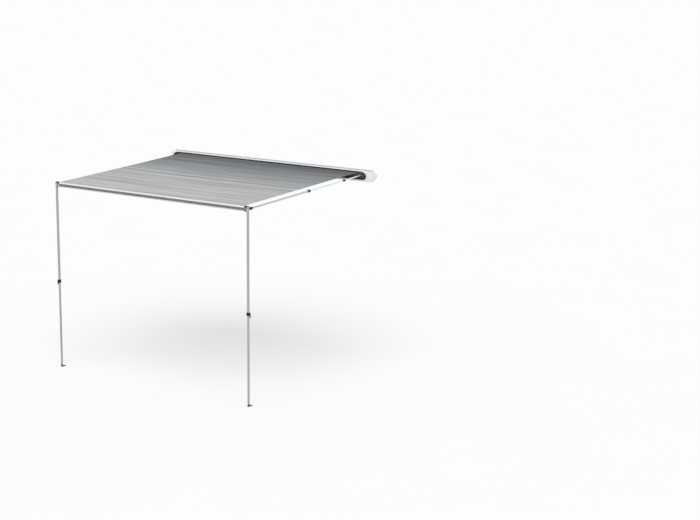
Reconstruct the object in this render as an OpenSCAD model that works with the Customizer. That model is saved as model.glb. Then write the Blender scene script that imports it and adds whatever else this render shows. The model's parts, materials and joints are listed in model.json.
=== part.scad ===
// Roll out awning for a caravan wall: a bag hung from a bead in the wall rail, a canopy wound on a lead
// roller, two folding telescopic legs and two telescopic rafters. Millimetres.
// Origin: centre of the rail bead at mid width. X runs along the wall, Y points into the wall, Z is up.

/* [Setting up] */
// Height of the wall rail's bead above the ground
rail_height = 2350; // [2310:5:2450]
// Fall from the rail's bead to the lead roller's axis
fall = 150; // [120:5:230]
// Distance from the wall to the lead roller's axis
reach = 2280; // [2000:10:2500]

/* [Bag] */
// Depth of the bag from the wall to its mouth
bag_depth = 95; // [85:1:120]
// Height of the bag
bag_height = 120; // [112:1:150]
// Drop from the bead to the bag's top
bag_drop = 10; // [8:1:14]
// Thickness of the bag's sheet
bag_wall = 2; // [1.5:0.1:3]
// Length of the bag's mouth past each side edge of the canopy
mouth_margin = 125; // [115:5:250]
// Height of the lower lip above the bag's floor
lower_lip = 22; // [18:1:26]
// Radius of the bag's upper front edge
upper_round = 6; // [4:0.5:8]
// Radius of the bag's lower front edge
lower_round = 14; // [8:1:17]
// Length of the square part of each bag end beyond the mouth
bag_end_square = 45; // [30:5:90]
// Length of each bag end's taper
bag_end_taper = 50; // [40:1:90]
// Height of the bag end's tip
bag_tip_h = 30; // [16:1:50]
// Depth of the bag end's tip
bag_tip_d = 14; // [10:1:30]
// Diameter of the bead that slides into the wall rail
rail_bead_d = 7; // [5:0.5:9]
// Distance of the bead's ends inside the square part of the bag's ends
bead_inset = 10; // [0:1:50]
// Height of the bead's tape
bead_tape_h = 26; // [20:1:40]
// Thickness of the bead's tape
bead_tape_t = 1.6; // [1:0.1:2]
// Thickness of the zip tapes
zip_tape_t = 1.4; // [1:0.1:2]
// Height of the upper zip tape
upper_tape_h = 4; // [3:0.5:5]
// Height of the lower zip tape
lower_tape_h = 8; // [7:0.5:12]
// Distance of the parked zip slider from the end of the zip
slider_inset = 20; // [12:1:100]
// Length of the zip slider
slider_len = 16; // [12:1:24]
// Length of the zip pull
pull_len = 30; // [20:1:45]

/* [Canopy] */
// Width of the canopy
canopy_w = 2700; // [2500:10:3200]
// Thickness of the canopy with its coating
canopy_t = 1; // [0.6:0.1:2]
// Drop from the bead to the underside of the canopy at the wall
canopy_drop = 18.5; // [17:0.5:22]

/* [Lead roller] */
// Length of the roller past each side edge of the canopy
roller_margin = 8; // [4:1:20]
// Diameter of the roller
roller_d = 64; // [62:1:80]
// Wall of the roller's profile
roller_wall = 2; // [1.5:0.1:3]
// Diameter of the bead at the canopy's front edge
front_bead_d = 5.6; // [4:0.2:7]
// Distance of the front bead's groove ahead of the canopy's seat
groove_ahead = 6; // [4:0.5:8]
// Width of the slot over the bead's groove
groove_slot = 2.4; // [1.8:0.2:3]
// Length of the end plug's tenon inside the roller
tenon_len = 30; // [20:1:60]

/* [End brackets] */
// Diameter of the journal that the roller turns on
journal_d = 48; // [46:0.5:54]
// Wall of the bracket's ring
ring_wall = 7; // [5:0.5:9]
// Width of the bracket's ring
ring_w = 14; // [10:1:20]
// Gap between the roller's end and the ring, which the plug's flange fills
ring_gap = 3; // [2:0.5:5]
// Diameter of the cap that keeps the ring on its journal
cap_d = 52; // [51:0.5:54]
// Diameter of the opening in that cap
cap_hole_d = 34; // [28:1:36]
// Thickness of that cap
cap_t = 2.5; // [2:0.5:3]
// Distance from the ring's outer face to the leg's swivel axis
leg_offset = 25; // [24:1:32]
// Distance of the leg's swivel axis in front of the roller's axis
leg_setback = 14; // [12:0.5:15]
// Thickness of the ear that carries the leg
ear_t = 6; // [5:0.5:8]
// Radius of the ear's end and of the rafter's clevis
ear_r = 13; // [12:0.5:16]
// Gap between the two ears of the rafter's clevis
clevis_gap = 15; // [13:0.5:17]
// Distance of the right rafter's pivot behind the roller's axis
lane_right = 54; // [54:1:58]
// Distance of the left rafter's pivot behind the roller's axis
lane_left = 92; // [92:1:98]
// Diameter of the pivot pins of the legs and rafters
pivot_d = 8; // [6:0.5:9]

/* [Legs] */
// Width of the upper leg tube along the roller
leg_w = 22; // [20:0.5:24]
// Depth of the upper leg tube
leg_d = 24; // [22:0.5:24.5]
// Wall of the leg tubes
leg_wall = 1.5; // [1.2:0.1:2]
// Corner radius of the upper leg tube
leg_corner = 5; // [4:0.5:7]
// Gap all round between the telescoping leg tubes
leg_gap = 0.5; // [0.3:0.1:0.8]
// Height of the clamp above the ground
clamp_height = 1044; // [1044:2:1120]
// Height of the clamp
clamp_h = 34; // [28:1:44]
// Wall of the clamp at the sides
clamp_side = 6; // [4:0.5:6.5]
// Wall of the clamp in front and behind
clamp_front = 2; // [1.5:0.1:2.5]
// Length of the clamp's lever
lever_len = 50; // [36:1:70]
// Length of lower tube that stays inside the upper tube
leg_overlap = 120; // [80:5:125]
// Distance from the leg's pin to the top of its upper tube
head_len = 20; // [18:1:26]
// Length of the plugs inside the leg tubes
plug_len = 40; // [20:1:44]
// Thickness of each cheek of the yoke
yoke_cheek = 3.7; // [3:0.1:4.5]

/* [Feet] */
// Height of the foot's pivot above the ground
foot_pivot_h = 13; // [13:0.5:14]
// Length of the foot in front of its pivot
foot_heel = 14; // [12:0.5:16]
// Length of the foot behind its pivot, towards the wall
foot_toe = 52; // [48:1:90]
// Width of the foot
foot_w = 32; // [30:1:33]
// Thickness of the foot's plate
foot_plate_t = 2.5; // [2:0.1:2.8]
// Thickness of the foot's rubber pad
foot_pad_t = 3; // [2:0.1:3.2]
// Diameter of the ground peg's hole
peg_hole_d = 9; // [7:0.5:12]
// Distance of the peg's hole from the toe's end
peg_inset = 16; // [10:1:20]
// Distance from the foot's pivot to the end of the lower tube
foot_drop = 22; // [20:0.5:30]
// Radius of the foot's tongue and ears around the pivot
foot_ear_r = 7; // [6:0.5:7]
// Diameter of the foot's pivot pin
foot_pin_d = 6; // [5:0.5:7]

/* [Rafters] */
// Diameter of the rafter's outer tube
rafter_d = 22; // [20:0.5:23]
// Wall of the rafter's tubes
rafter_wall = 1.3; // [1:0.1:1.5]
// Gap all round between the rafter's tubes
rafter_gap = 0.4; // [0.3:0.1:0.6]
// Distance from the pivot to the end of the outer tube
outer_end = 1070; // [1050:5:1120]
// Distance from the pivot to the end of the middle tube
middle_end = 1780; // [1765:5:1785]
// Length of middle tube that stays inside the outer tube
middle_overlap = 120; // [80:5:200]
// Length of inner tube that stays inside the middle tube on the right
inner_overlap = 100; // [80:5:200]
// Length of each twist collar
collar_len = 36; // [28:1:40]
// Wall of each twist collar
collar_wall = 4; // [3:0.5:4.5]
// Length of each twist collar past the end of its tube
collar_lip = 10; // [8:0.5:12]
// Number of grip ribs on each twist collar
collar_ribs = 12; // [8:1:20]
// Diameter of the boot that rests against the wall
boot_d = 22; // [20:0.5:26]

/* [Fits] */
// Radial clearance of pins and journals
running = 0.05; // [0.02:0.01:0.1]
// Gap between pieces that move past each other
moving_gap = 0.3; // [0.2:0.05:0.5]
// Gap round a plug inside its tube
plug_gap = 0.1; // [0.05:0.05:0.2]
// Gap round a folded leg's clamp in the roller's channel
stow_gap = 1; // [0.6:0.1:1.5]
// Gap between the rafter's boot and the bag's back
boot_gap = 0.4; // [0.3:0.1:0.8]

/* [Hidden] */
$fn = 64;
right = 1;
left = -1;
over = 1;
slice_t = 0.1;

white = "#eef0f0";
pale_grey = "#b9bcbe";
dark_grey = "#55585b";
black = "#1d1e20";
aluminium = "#c9cccf";

// Places of the main axes
ground_z = -rail_height;
roller_height = rail_height - fall;
roller_y = -reach;
roller_z = -fall;
roller_r = roller_d / 2;
roller_end = canopy_w / 2 + roller_margin;
canopy_r = roller_r + moving_gap;
canopy_fall = fall - canopy_drop;
// The canopy's underside runs straight from its drop at the wall to a tangent over the roller
slope = acos(canopy_r / norm([canopy_fall, reach])) - atan2(reach, canopy_fall);

// Bag
bag_back = -bead_tape_t / 2;
bag_inner = bag_back - bag_wall;
bag_top_z = -bag_drop;
bag_floor_z = bag_top_z - bag_height;
mouth_top = bag_top_z - upper_round;
mouth_bottom = bag_floor_z + lower_lip;
mouth_h = mouth_top - mouth_bottom;
mouth_mid = (mouth_top + mouth_bottom) / 2;
mouth_end = canopy_w / 2 + mouth_margin;
panel_end = mouth_end - mouth_h / 2;
bag_square_end = mouth_end + bag_end_square;
bag_tip_end = bag_square_end + bag_end_taper;
bead_end = bag_square_end - bead_inset;
tape_front = -bag_depth;
zip_edge = mouth_bottom + lower_tape_h;
slider_wall = 3;
slider_x = -panel_end + slider_inset;
slider_h = lower_tape_h;
slider_lug = 3.2;
slider_lug_w = 4;
pull_pin_d = 1.8;
pull_t = 1.6;
pull_w = 9;
pull_y = tape_front - slider_wall - slider_lug;
pull_z = zip_edge - slider_h / 2;

// Legs
lower_w = leg_w - 2 * (leg_wall + leg_gap);
lower_d = leg_d - 2 * (leg_wall + leg_gap);
lower_corner = leg_corner - leg_wall - leg_gap;
clamp_w = leg_w + 2 * clamp_side;
clamp_d = leg_d + 2 * clamp_front;
clamp_corner = 4;
clamp_z = clamp_height - roller_height;
lower_top = clamp_z + leg_overlap;
lower_end = foot_pivot_h + foot_drop - roller_height;
glide_h = 18;
head_r = leg_d / 2;
head_room = 2;
yoke_d = 18;
yoke_x = leg_w / 2 + moving_gap;
pin_head_r = pivot_d / 2 + 2.5;
pin_head_t = 2.5;
lever_pin_d = 4;
lever_reach = 4;
lever_r = 3.5;
lever_half = 5;
lever_cheek = 2.5;
lever_plate = 2.5;
lever_above = 1.5;
lever_pin_x = clamp_w / 2 + lever_reach;
lever_pin_z = clamp_z + clamp_h / 4;

// Roller and brackets
channel_h = clamp_d + 2 * stow_gap;
channel_back = clamp_w / 2 + 2 * stow_gap - leg_setback;
groove_r = front_bead_d / 2 + moving_gap;
groove_z = sqrt(pow(roller_r - roller_wall - groove_r, 2) - pow(groove_ahead, 2));
journal_r = journal_d / 2;
ring_r = journal_r + running + ring_wall;
ring_x = roller_end + ring_gap;
ring_out = ring_x + ring_w;
leg_x = ring_out + leg_offset;
opening_h = channel_h + 2 * stow_gap;
opening_back = channel_back + stow_gap;
cap_r = cap_d / 2;
ear_z = cap_r + 1;
arm_start = cap_r + 2;
screw_d = 4;
screw_head_r = 3.6;
screw_head_t = 2;
screw_len = 18;
screw_r = (cap_d + cap_hole_d) / 4;
screw_angle = 42;

// Feet
foot_z = foot_pivot_h - roller_height;
foot_plate_z = foot_pad_t - roller_height;
foot_plate_top = foot_plate_z + foot_plate_t;
foot_corner = 8;
tongue_half = 5;
foot_ear_t = 3;
foot_ear_x = tongue_half + moving_gap;
foot_ear_out = foot_ear_x + foot_ear_t;
foot_head_t = 1.5;
foot_head_r = foot_pin_d / 2 + 1.5;
tongue_collar = 3;
peg_y = foot_toe - peg_inset;

// Rafters
knuckle_half = clevis_gap / 2 - moving_gap;
knuckle_r = 11;
knuckle_w = 16;
knuckle_len = 26;
knuckle_collar = 6;
spigot_len = 40;
rafter_step = 2 * (rafter_wall + rafter_gap);
middle_d = rafter_d - rafter_step;
inner_d = middle_d - rafter_step;
boot_len = 24;
boot_plug = 25;
boot_r = boot_d / 2;
rib_d = 3;
boot_reach = reach + bag_inner - boot_gap - boot_r;
function lane(side) = side > 0 ? lane_right : lane_left;
function rafter_len(side) = boot_reach / cos(slope) + boot_r - lane(side);
inner_len = rafter_len(right) - boot_len - middle_end + inner_overlap;

// Flat outlines

// Rectangle with round corners, centred
module rounded_rect(w, d, r) {
  square([w - 2 * r, d], center = true);
  square([w, d - 2 * r], center = true);
  for (x = [-1, 1], y = [-1, 1])
    translate([x * (w / 2 - r), y * (d / 2 - r)])
      circle(r);
}

// Rectangle between two corners
module span(low, high) {
  translate(low)
    square(high - low);
}

// Outline of the bag seen from its end, drawn in Y and Z and shrunk all round by an inset
module bag_outline(inset) {
  low = bag_floor_z + inset;
  high = bag_top_z - inset;
  front = -bag_depth + inset;
  back = bag_back - inset;
  r_up = upper_round - inset;
  r_low = lower_round - inset;
  span([front, low + r_low], [back, high - r_up]);
  span([front + r_up, low + r_low], [back, high]);
  span([front + r_low, low], [back, high - r_up]);
  translate([front + r_up, high - r_up])
    circle(r_up);
  translate([front + r_low, low + r_low])
    circle(r_low);
}

// The bag's wall seen from its end
module bag_section() {
  difference() {
    bag_outline(0);
    bag_outline(bag_wall);
  }
}

// Outline of the roller's channel for the legs, open to the front
module channel_outline(grow) {
  span([-roller_d, -channel_h / 2 - grow], [channel_back + grow, channel_h / 2 + grow]);
}

// Helpers that place pieces

// Extrudes an outline drawn in Y and Z along X
module along_x(x0, x1) {
  translate([x0, 0, 0])
    rotate([90, 0, 90])
      linear_extrude(x1 - x0)
        children();
}

// Extrudes an outline drawn in X and Z along Y, centred
module across_y(half) {
  translate([0, half, 0])
    rotate([90, 0, 0])
      linear_extrude(2 * half)
        children();
}

// Extrudes an outline drawn in X and Y along Z
module along_z(z0, z1) {
  translate([0, 0, z0])
    linear_extrude(z1 - z0)
      children();
}

// Round bar along Y
module bar_y(y0, y1, d) {
  translate([0, y0, 0])
    rotate([-90, 0, 0])
      cylinder(h = y1 - y0, d = d);
}

// Round bar along X
module bar_x(x0, x1, d) {
  translate([x0, 0, 0])
    rotate([0, 90, 0])
      cylinder(h = x1 - x0, d = d);
}

// Puts a piece that is drawn for the right on its own side
module on_side(side) {
  if (side > 0)
    children();
  else
    mirror([1, 0, 0])
      children();
}

// Frame at the roller's axis
module at_roller() {
  translate([0, roller_y, roller_z])
    children();
}

// Frame at the roller's axis, tilted with the canopy
module on_slope() {
  at_roller()
    rotate([slope, 0, 0])
      children();
}

// Frame at a leg's pin
module at_leg(side) {
  on_side(side)
    translate([leg_x, roller_y - leg_setback, roller_z])
      children();
}

// Frame at a rafter's pivot, with Y along the rafter
module at_rafter(side) {
  on_side(side)
    on_slope()
      translate([leg_x, lane(side), 0])
        children();
}

// Bag

module bag_back() {
  color(white)
    along_x(-panel_end, panel_end)
      span([bag_inner, bag_floor_z], [bag_back, bag_top_z]);
}

// Upper cover of the bag, down to the mouth
module bag_top() {
  color(white)
    along_x(-panel_end, panel_end)
      intersection() {
        bag_section();
        span([-bag_depth - over, mouth_top], [bag_inner, over]);
      }
}

// Floor of the bag with its lower lip
module bag_floor() {
  color(white)
    along_x(-panel_end, panel_end)
      intersection() {
        bag_section();
        span([-bag_depth - over, bag_floor_z - over], [bag_inner, mouth_bottom]);
      }
}

// Thin slice of the bag's outline at a place along X
module bag_slice(x, inset) {
  along_x(x, x + slice_t)
    bag_outline(inset);
}

// Thin slice of the bag end's tip
module tip_slice(x, inset) {
  along_x(x - slice_t, x)
    translate([bag_back - bag_tip_d / 2, mouth_mid])
      rounded_rect(bag_tip_d - 2 * inset, bag_tip_h - 2 * inset, bag_tip_d / 2 - inset - 0.5);
}

// Closed end of the bag: a square part round the mouth's end, then a taper
module bag_end(side) {
  color(white)
    on_side(side) {
      difference() {
        along_x(panel_end, bag_square_end)
          bag_section();
        translate([panel_end, -bag_depth, mouth_mid])
          across_y(bag_depth / 2)
            circle(d = mouth_h);
      }
      difference() {
        hull($fn = 32) {
          bag_slice(bag_square_end, 0);
          tip_slice(bag_tip_end, 0);
        }
        hull($fn = 32) {
          bag_slice(bag_square_end - slice_t, bag_wall);
          tip_slice(bag_tip_end - bag_wall, bag_wall);
        }
      }
    }
}

// Bead that slides into the wall rail
module rail_bead() {
  color(pale_grey)
    bar_x(-bead_end, bead_end, rail_bead_d);
}

// Tape that joins the bead to the bag and the canopy
module bead_tape() {
  color(pale_grey)
    along_x(-bead_end, bead_end)
      span([-bead_tape_t / 2, -rail_bead_d / 2 - bead_tape_h],
           [bead_tape_t / 2, -rail_bead_d / 2 - plug_gap]);
}

module zip_tape_upper() {
  color(black)
    along_x(-panel_end, panel_end)
      span([tape_front, mouth_top - upper_tape_h], [tape_front + zip_tape_t, mouth_top]);
}

module zip_tape_lower() {
  color(black)
    along_x(-panel_end, panel_end)
      span([tape_front, mouth_bottom], [tape_front + zip_tape_t, zip_edge]);
}

// Zip slider that straddles the lower tape, with the lug of its pull
module zip_slider() {
  color(dark_grey)
    difference() {
      union() {
        along_x(slider_x - slider_len / 2, slider_x + slider_len / 2)
          span([tape_front - slider_wall, zip_edge - slider_h + moving_gap],
               [tape_front + zip_tape_t + slider_wall, zip_edge + slider_wall]);
        along_x(slider_x - slider_lug_w / 2, slider_x + slider_lug_w / 2) {
          span([pull_y, pull_z - slider_lug], [tape_front - slider_wall, pull_z + slider_lug]);
          translate([pull_y, pull_z])
            circle(slider_lug);
        }
      }
      along_x(slider_x - slider_len, slider_x + slider_len)
        span([tape_front - moving_gap, zip_edge - 2 * slider_h],
             [tape_front + zip_tape_t + moving_gap, zip_edge + moving_gap]);
      translate([slider_x, pull_y, pull_z])
        bar_x(-slider_len, slider_len, pull_pin_d + 2 * running);
    }
}

// Pull that hangs from the slider: two cheeks on a pin, joined by a tab
module zip_pull() {
  cheek_x = slider_lug_w / 2 + moving_gap;
  tab_top = -slider_lug - moving_gap;
  color(dark_grey)
    translate([slider_x, pull_y, pull_z]) {
      bar_x(-pull_w / 2, pull_w / 2, pull_pin_d);
      for (side = [left, right])
        on_side(side)
          along_x(cheek_x, pull_w / 2) {
            circle(pull_t);
            span([-pull_t, tab_top], [pull_t, 0]);
          }
      along_x(-pull_w / 2, pull_w / 2)
        span([-pull_t, -pull_len], [pull_t, tab_top]);
    }
}

// Canopy and roller

// Stretched canopy, from the bag's back to just past its seat on the roller
module canopy_fabric() {
  rear = (reach + bag_inner - moving_gap + canopy_r * sin(slope)) / cos(slope);
  color(pale_grey)
    on_slope()
      along_x(-canopy_w / 2, canopy_w / 2)
        span([-groove_ahead - groove_slot, canopy_r], [rear, canopy_r + canopy_t]);
}

// Bead and neck along the canopy's front edge, held in the roller's groove
module front_bead() {
  color(pale_grey)
    on_slope() {
      translate([0, -groove_ahead, groove_z])
        bar_x(-canopy_w / 2, canopy_w / 2, front_bead_d);
      along_x(-canopy_w / 2, canopy_w / 2)
        span([-groove_ahead - groove_slot / 2 + moving_gap, groove_z],
             [-groove_ahead + groove_slot / 2 - moving_gap, canopy_r - moving_gap]);
    }
}

// Section of the lead roller: hollow, with a channel for the legs, an upright web behind the channel and
// a groove for the canopy's bead
module roller_section() {
  difference() {
    circle(roller_r);
    difference() {
      circle(roller_r - roller_wall);
      channel_outline(roller_wall);
      span([channel_back, -roller_r], [channel_back + roller_wall, roller_r]);
      rotate(slope)
        translate([-groove_ahead, groove_z])
          circle(groove_r + roller_wall);
    }
    channel_outline(0);
    rotate(slope)
      translate([-groove_ahead, groove_z]) {
        circle(groove_r);
        span([-groove_slot / 2, 0], [groove_slot / 2, roller_r]);
      }
  }
}

// The part of the lead roller between two corners of its section
module roller_piece(low, high) {
  color(aluminium)
    at_roller()
      along_x(-roller_end, roller_end)
        intersection() {
          roller_section();
          span(low, high);
        }
}

// Rear of the lead roller, a half round tube closed by the web
module roller_back() {
  roller_piece([channel_back, -roller_d], [roller_d, roller_d]);
}

// Upper wall of the channel with the groove that holds the canopy's bead
module roller_upper() {
  roller_piece([-roller_d, 0], [channel_back, roller_d]);
}

// Lower wall of the channel
module roller_lower() {
  roller_piece([-roller_d, -roller_d], [channel_back, 0]);
}

// Two screws at one end of the roller, seen from the end
module screw_places() {
  for (turn = [-1, 1])
    rotate([turn * screw_angle, 0, 0])
      translate([0, screw_r, 0])
        children();
}

// End plug: a tenon in the roller, a flange over its end and the journal, with the channel cut through
module roller_plug(side) {
  color(pale_grey)
    on_side(side)
      at_roller()
        difference() {
          union() {
            along_x(roller_end - tenon_len, roller_end)
              intersection() {
                circle(roller_r - roller_wall - plug_gap);
                span([channel_back + roller_wall + plug_gap, -roller_r], [roller_r, roller_r]);
              }
            bar_x(roller_end, ring_x - moving_gap, 2 * ring_r);
            bar_x(roller_end, ring_out + moving_gap, journal_d);
          }
          along_x(roller_end - over, ring_out + over)
            channel_outline(0);
          screw_places()
            bar_x(ring_out - screw_len, ring_out + over, screw_d + 2 * running);
        }
}

// Cap that keeps the bracket's ring on the journal
module roller_cap(side) {
  x = ring_out + moving_gap;
  color(black)
    on_side(side)
      at_roller()
        difference() {
          bar_x(x, x + cap_t, cap_d);
          bar_x(x - over, x + cap_t + over, cap_hole_d);
          along_x(x - over, x + cap_t + over)
            channel_outline(0);
          screw_places()
            bar_x(x - over, x + cap_t + over, screw_d + 2 * running);
        }
}

// Screws that fasten both caps to their plugs
module cap_screws() {
  x = ring_out + moving_gap + cap_t;
  color(dark_grey)
    for (side = [left, right])
      on_side(side)
        at_roller()
          screw_places() {
            bar_x(x - screw_len + screw_head_t, x, screw_d);
            bar_x(x, x + screw_head_t, 2 * screw_head_r);
          }
}

// End bracket: a ring open to the front, an ear for the leg and a clevis for the rafter
module bracket(side) {
  ear_out = leg_x + ear_r;
  color(black)
    on_side(side)
      difference() {
        union() {
          at_roller() {
            bar_x(ring_x, ring_out, 2 * ring_r);
            along_x(ring_x, ring_out)
              span([-leg_setback - ear_r / 2, opening_h / 2], [0, ear_z + ear_t]);
            along_x(ring_x, leg_x)
              span([-leg_setback - ear_r, ear_z], [-leg_setback + ear_r, ear_z + ear_t]);
            translate([leg_x, -leg_setback, ear_z])
              cylinder(h = ear_t, r = ear_r);
          }
          on_slope() {
            along_x(ring_x, ear_out)
              span([arm_start, -ear_r], [lane(side) - ear_r, ear_r]);
            difference() {
              union() {
                along_x(leg_x - ear_r, ear_out)
                  span([lane(side) - ear_r, -ear_r], [lane(side), ear_r]);
                translate([leg_x, lane(side), -ear_r])
                  cylinder(h = 2 * ear_r, r = ear_r);
              }
              along_x(leg_x - 2 * ear_r, ear_out + over)
                span([lane(side) - ear_r, -clevis_gap / 2], [lane(side) + 2 * ear_r, clevis_gap / 2]);
            }
          }
        }
        at_roller() {
          bar_x(ring_x - over, ring_out + over, journal_d + 2 * running);
          along_x(ring_x - over, ring_out + over)
            span([-roller_d, -opening_h / 2], [opening_back, opening_h / 2]);
          translate([leg_x, -leg_setback, ear_z - over])
            cylinder(h = ear_t + 2 * over, d = pivot_d + 2 * running);
        }
        on_slope()
          translate([leg_x, lane(side), -ear_r - over])
            cylinder(h = 2 * ear_r + 2 * over, d = pivot_d + 2 * running);
      }
}

// Pivot pins of both rafters, with a head at each end
module rafter_pins() {
  color(aluminium)
    for (side = [left, right])
      at_rafter(side) {
        translate([0, 0, -ear_r])
          cylinder(h = 2 * ear_r, d = pivot_d);
        for (z = [-ear_r - pin_head_t, ear_r])
          translate([0, 0, z])
            cylinder(h = pin_head_t, r = pin_head_r);
      }
}

// Legs

// Yoke that swivels under the bracket's ear on a riveted stud and carries the leg between two cheeks
module leg_yoke(side) {
  bridge = head_r + head_room;
  stud_top = ear_z + ear_t + moving_gap;
  color(aluminium)
    at_leg(side)
      difference() {
        union() {
          along_z(bridge, ear_z - moving_gap)
            rounded_rect(2 * (yoke_x + yoke_cheek), yoke_d, 2);
          for (x = [-yoke_x - yoke_cheek, yoke_x])
            along_x(x, x + yoke_cheek) {
              circle(d = yoke_d);
              span([-yoke_d / 2, 0], [yoke_d / 2, bridge]);
            }
          cylinder_from(ear_z - moving_gap, stud_top, pivot_d);
          cylinder_from(stud_top, stud_top + pin_head_t, 2 * pin_head_r);
        }
        bar_x(-leg_w, leg_w, pivot_d + 2 * running);
      }
}

// Round bar along Z
module cylinder_from(z0, z1, d) {
  translate([0, 0, z0])
    cylinder(h = z1 - z0, d = d);
}

// Pin that the leg folds on
module leg_pin(side) {
  half = yoke_x + yoke_cheek;
  color(aluminium)
    at_leg(side) {
      bar_x(-half, half, pivot_d);
      for (x = [-half - pin_head_t, half])
        bar_x(x, x + pin_head_t, 2 * pin_head_r);
    }
}

// Inside of the upper leg tube
module upper_bore(gap) {
  rounded_rect(leg_w - 2 * (leg_wall + gap), leg_d - 2 * (leg_wall + gap), leg_corner - leg_wall - gap);
}

// Inside of the lower leg tube
module lower_bore(gap) {
  rounded_rect(lower_w - 2 * (leg_wall + gap), lower_d - 2 * (leg_wall + gap), lower_corner - leg_wall - gap);
}

// Moulded head of the leg with its plug in the upper tube
module leg_head(side) {
  color(pale_grey)
    at_leg(side)
      difference() {
        union() {
          along_x(-leg_w / 2, leg_w / 2) {
            circle(head_r);
            span([-head_r, -head_len], [head_r, 0]);
          }
          along_z(-head_len - plug_len, -head_len)
            upper_bore(plug_gap);
        }
        bar_x(-leg_w, leg_w, pivot_d + 2 * running);
      }
}

module leg_upper_tube(side) {
  color(aluminium)
    at_leg(side)
      along_z(clamp_z, -head_len)
        difference() {
          rounded_rect(leg_w, leg_d, leg_corner);
          upper_bore(0);
        }
}

// Clamp at the end of the upper tube, with the lug of its lever on the outer side
module leg_clamp(side) {
  color(black)
    at_leg(side)
      difference() {
        union() {
          along_z(clamp_z - clamp_h / 2, clamp_z + clamp_h / 2)
            rounded_rect(clamp_w, clamp_d, clamp_corner);
          across_y(lever_half) {
            span([clamp_w / 2 - over, lever_pin_z - lever_r], [lever_pin_x, lever_pin_z + lever_r]);
            translate([lever_pin_x, lever_pin_z])
              circle(lever_r);
          }
        }
        along_z(clamp_z, clamp_z + clamp_h)
          rounded_rect(leg_w + 2 * running, leg_d + 2 * running, leg_corner + running);
        along_z(clamp_z - clamp_h, clamp_z + over)
          rounded_rect(lower_w + 2 * moving_gap, lower_d + 2 * moving_gap, lower_corner + moving_gap);
        translate([lever_pin_x, 0, lever_pin_z])
          bar_y(-clamp_d, clamp_d, lever_pin_d + 2 * running);
      }
}

// Lever of the clamp, hanging at rest, with its cross pin
module clamp_lever(side) {
  cheek_y = lever_half + moving_gap;
  plate_x = lever_r + moving_gap;
  width = 2 * (cheek_y + lever_cheek);
  color(black)
    at_leg(side)
      translate([lever_pin_x, 0, lever_pin_z]) {
        bar_y(-width / 2, width / 2, lever_pin_d);
        for (y = [-1, 1])
          translate([0, y * (cheek_y + lever_cheek / 2), 0])
            across_y(lever_cheek / 2) {
              circle(lever_r);
              span([0, -lever_r], [plate_x + lever_plate, lever_above]);
            }
        across_y(width / 2)
          span([plate_x, -lever_len], [plate_x + lever_plate, lever_above]);
      }
}

module leg_lower_tube(side) {
  color(aluminium)
    at_leg(side)
      along_z(lower_end, lower_top)
        difference() {
          rounded_rect(lower_w, lower_d, lower_corner);
          lower_bore(0);
        }
}

// Glide on the top of the lower tube that runs inside the upper tube
module leg_glide(side) {
  color(dark_grey)
    at_leg(side) {
      along_z(lower_top, lower_top + glide_h)
        upper_bore(moving_gap);
      along_z(lower_top - plug_len, lower_top)
        lower_bore(plug_gap);
    }
}

// Feet

// Tongue in the end of the lower tube, with the foot's pin riveted in
module foot_tongue(side) {
  color(dark_grey)
    at_leg(side) {
      along_z(lower_end, lower_end + plug_len)
        lower_bore(plug_gap);
      along_z(lower_end - tongue_collar, lower_end)
        rounded_rect(lower_w, lower_d, lower_corner);
      translate([0, 0, foot_z]) {
        along_x(-tongue_half, tongue_half) {
          circle(foot_ear_r);
          span([-foot_ear_r, 0], [foot_ear_r, foot_drop - tongue_collar]);
        }
        bar_x(-foot_ear_out, foot_ear_out, foot_pin_d);
        for (x = [-foot_ear_out - foot_head_t - moving_gap, foot_ear_out])
          bar_x(x, x + foot_head_t + moving_gap, foot_pin_d);
        for (x = [-foot_ear_out - foot_head_t - moving_gap, foot_ear_out + moving_gap])
          bar_x(x, x + foot_head_t, 2 * foot_head_r);
      }
    }
}

// Outline of the foot, seen from above, with its peg hole
module foot_outline() {
  difference() {
    translate([0, (foot_toe - foot_heel) / 2])
      rounded_rect(foot_w, foot_toe + foot_heel, foot_corner);
    translate([0, peg_y])
      circle(d = peg_hole_d);
  }
}

module foot_plate(side) {
  color(dark_grey)
    at_leg(side)
      difference() {
        union() {
          along_z(foot_plate_z, foot_plate_top)
            foot_outline();
          translate([0, 0, foot_z])
            for (x = [-foot_ear_out, foot_ear_x])
              along_x(x, x + foot_ear_t) {
                circle(foot_ear_r);
                span([-foot_ear_r, foot_plate_z - foot_z], [foot_ear_r, 0]);
              }
        }
        translate([0, 0, foot_z])
          bar_x(-foot_w, foot_w, foot_pin_d + 2 * running);
      }
}

module foot_pad(side) {
  color(black)
    at_leg(side)
      along_z(-roller_height, foot_plate_z)
        foot_outline();
}

// Rafters

// Knuckle that turns in the clevis, with a spigot in the outer tube
module rafter_knuckle(side) {
  color(pale_grey)
    at_rafter(side)
      difference() {
        union() {
          cylinder_from(-knuckle_half, knuckle_half, 2 * knuckle_r);
          along_z(-knuckle_half, knuckle_half)
            span([-knuckle_w / 2, 0], [knuckle_w / 2, knuckle_len]);
          bar_y(knuckle_len - knuckle_collar, knuckle_len, rafter_d);
          bar_y(knuckle_len, knuckle_len + spigot_len, rafter_d - 2 * (rafter_wall + plug_gap));
        }
        cylinder_from(-clevis_gap, clevis_gap, pivot_d + 2 * running);
      }
}

// Round tube along Y
module tube_y(y0, y1, d) {
  difference() {
    bar_y(y0, y1, d);
    bar_y(y0 - over, y1 + over, d - 2 * rafter_wall);
  }
}

module rafter_outer(side) {
  color(aluminium)
    at_rafter(side)
      tube_y(knuckle_len, outer_end, rafter_d);
}

module rafter_middle(side) {
  color(aluminium)
    at_rafter(side)
      tube_y(outer_end - middle_overlap, middle_end, middle_d);
}

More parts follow.
